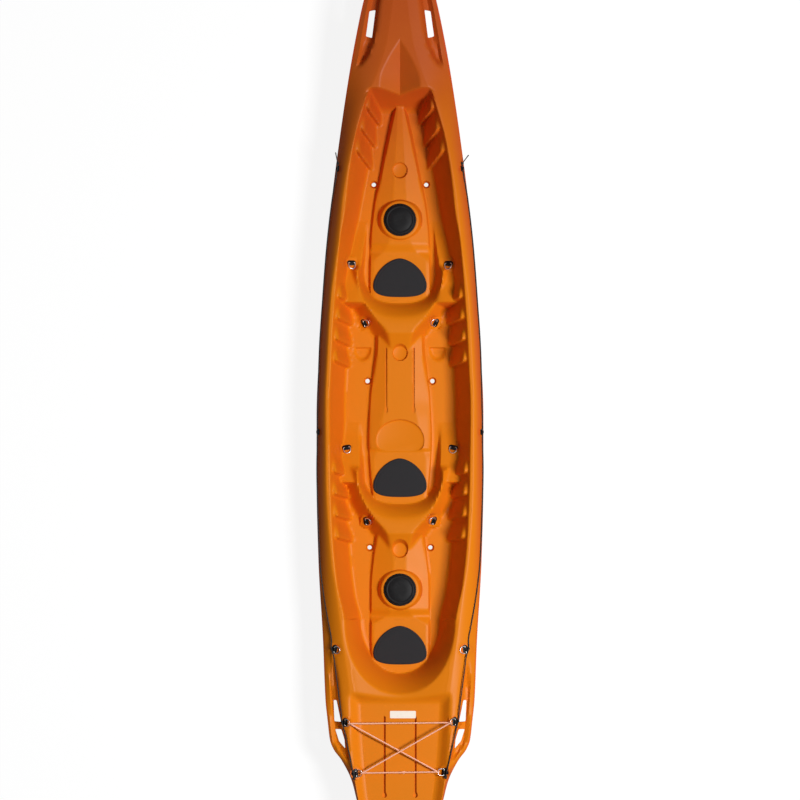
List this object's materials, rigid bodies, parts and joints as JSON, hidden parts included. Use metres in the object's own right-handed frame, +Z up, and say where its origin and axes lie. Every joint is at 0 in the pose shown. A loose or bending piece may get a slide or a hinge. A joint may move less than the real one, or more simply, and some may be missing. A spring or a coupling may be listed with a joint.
{
  "type": "sit-on-top touring kayak",
  "caption": "Moulded sit-on-top kayak with stepped footwells, padded seat pans, screw-in deck hatches, pad eyes with rings, deck lines and a laced stern tank well.",
  "frame": {"origin": "on the ground under the middle of the hull's length and breadth", "axes": "+Y towards the bow, +X to starboard, +Z up"},
  "size_m": [0.8022, 4.4998, 0.3448],
  "materials": {
    "black_plastic": "matt black nylon",
    "deck_line": "braided line",
    "elastic_cord": "braided elastic cord",
    "orange_hull": "satin moulded polyethylene",
    "rubber": "matt",
    "seat_foam": "closed-cell foam",
    "stainless": "polished stainless wire"
  },
  "bodies": {
    "hull": {"cargo_cord": "elastic_cord", "drain_bush": "black_plastic", "front_hatch_rim": "black_plastic", "front_hatch_seal": "rubber", "guide_bow_port": "black_plastic", "guide_bow_starboard": "black_plastic", "guide_middle_port": "black_plastic", "guide_middle_starboard": "black_plastic", "hull": "orange_hull", "port_deck_line": "deck_line", "rear_hatch_rim": "black_plastic", "rear_hatch_seal": "rubber", "seat1_port_eye": "black_plastic", "seat1_starboard_eye": "black_plastic", "seat2_port_eye": "black_plastic", "seat2_starboard_eye": "black_plastic", "seat3_port_eye": "black_plastic", "seat3_starboard_eye": "black_plastic", "seat_pad_1": "seat_foam", "seat_pad_2": "seat_foam", "seat_pad_3": "seat_foam", "starboard_deck_line": "deck_line", "tail1_port_eye": "black_plastic", "tail1_starboard_eye": "black_plastic", "tail2_port_eye": "black_plastic", "tail2_starboard_eye": "black_plastic", "tank_aft_port_eye": "black_plastic", "tank_aft_port_ring": "stainless", "tank_aft_starboard_eye": "black_plastic", "tank_aft_starboard_ring": "stainless", "tank_front_port_eye": "black_plastic", "tank_front_port_ring": "stainless", "tank_front_starboard_eye": "black_plastic", "tank_front_starboard_ring": "stainless"},
    "front_hatch_lid": {"front_hatch_lid": "black_plastic"},
    "rear_hatch_lid": {"rear_hatch_lid": "black_plastic"},
    "drain_plug": {"drain_plug": "black_plastic"},
    "seat1_port_ring": {"seat1_port_ring": "stainless"},
    "seat1_starboard_ring": {"seat1_starboard_ring": "stainless"},
    "tail1_port_ring": {"tail1_port_ring": "stainless"},
    "tail1_starboard_ring": {"tail1_starboard_ring": "stainless"},
    "seat2_port_ring": {"seat2_port_ring": "stainless"},
    "seat2_starboard_ring": {"seat2_starboard_ring": "stainless"},
    "tail2_port_ring": {"tail2_port_ring": "stainless"},
    "tail2_starboard_ring": {"tail2_starboard_ring": "stainless"},
    "seat3_port_ring": {"seat3_port_ring": "stainless"},
    "seat3_starboard_ring": {"seat3_starboard_ring": "stainless"}
  },
  "joints": [
    {"name": "front_hatch_lift", "type": "slide", "parent": "hull", "child": "front_hatch_lid", "axis": [0, 0, 1], "range_m": [0, 0.1]},
    {"name": "rear_hatch_lift", "type": "slide", "parent": "hull", "child": "rear_hatch_lid", "axis": [0, 0, 1], "range_m": [0, 0.1]},
    {"name": "drain_plug_lift", "type": "slide", "parent": "hull", "child": "drain_plug", "axis": [0, 0, 1], "range_m": [0, 0.03]},
    {"name": "seat1_port_ring_swing", "type": "hinge", "parent": "hull", "child": "seat1_port_ring", "pos_m": [-0.23116, 0.68299, 0.15966], "axis": [-0.9329, 0, 0.3601], "range_deg": [0, 130]},
    {"name": "seat1_starboard_ring_swing", "type": "hinge", "parent": "hull", "child": "seat1_starboard_ring", "pos_m": [0.23147, 0.68021, 0.16051], "axis": [-0.9532, 0, -0.3024], "range_deg": [0, 130]},
    {"name": "tail1_port_ring_swing", "type": "hinge", "parent": "hull", "child": "tail1_port_ring", "pos_m": [-0.17397, 0.39003, 0.1141], "axis": [0.413, -0.8856, -0.2127], "range_deg": [0, 130]},
    {"name": "tail1_starboard_ring_swing", "type": "hinge", "parent": "hull", "child": "tail1_starboard_ring", "pos_m": [0.17397, 0.39203, 0.11527], "axis": [0.413, 0.8856, 0.2127], "range_deg": [0, 130]},
    {"name": "seat2_port_ring_swing", "type": "hinge", "parent": "hull", "child": "seat2_port_ring", "pos_m": [-0.25594, -0.20267, 0.13337], "axis": [-0.9832, -0.1734, 0.0572], "range_deg": [0, 130]},
    {"name": "seat2_starboard_ring_swing", "type": "hinge", "parent": "hull", "child": "seat2_starboard_ring", "pos_m": [0.25594, -0.20267, 0.13337], "axis": [-0.9832, 0.1734, -0.0572], "range_deg": [0, 130]},
    {"name": "tail2_port_ring_swing", "type": "hinge", "parent": "hull", "child": "tail2_port_ring", "pos_m": [-0.16497, -0.55997, 0.13229], "axis": [0.1631, -0.9251, -0.3429], "range_deg": [0, 130]},
    {"name": "tail2_starboard_ring_swing", "type": "hinge", "parent": "hull", "child": "tail2_starboard_ring", "pos_m": [0.16497, -0.55797, 0.1341], "axis": [0.3303, 0.9074, 0.2597], "range_deg": [0, 130]},
    {"name": "seat3_port_ring_swing", "type": "hinge", "parent": "hull", "child": "seat3_port_ring", "pos_m": [-0.31413, -1.16925, 0.26316], "axis": [-0.2057, -0.9679, -0.1444], "range_deg": [0, 72]},
    {"name": "seat3_starboard_ring_swing", "type": "hinge", "parent": "hull", "child": "seat3_starboard_ring", "pos_m": [0.31413, -1.16925, 0.26316], "axis": [-0.1722, 0.9765, 0.1298], "range_deg": [0, 72]}
  ]
}
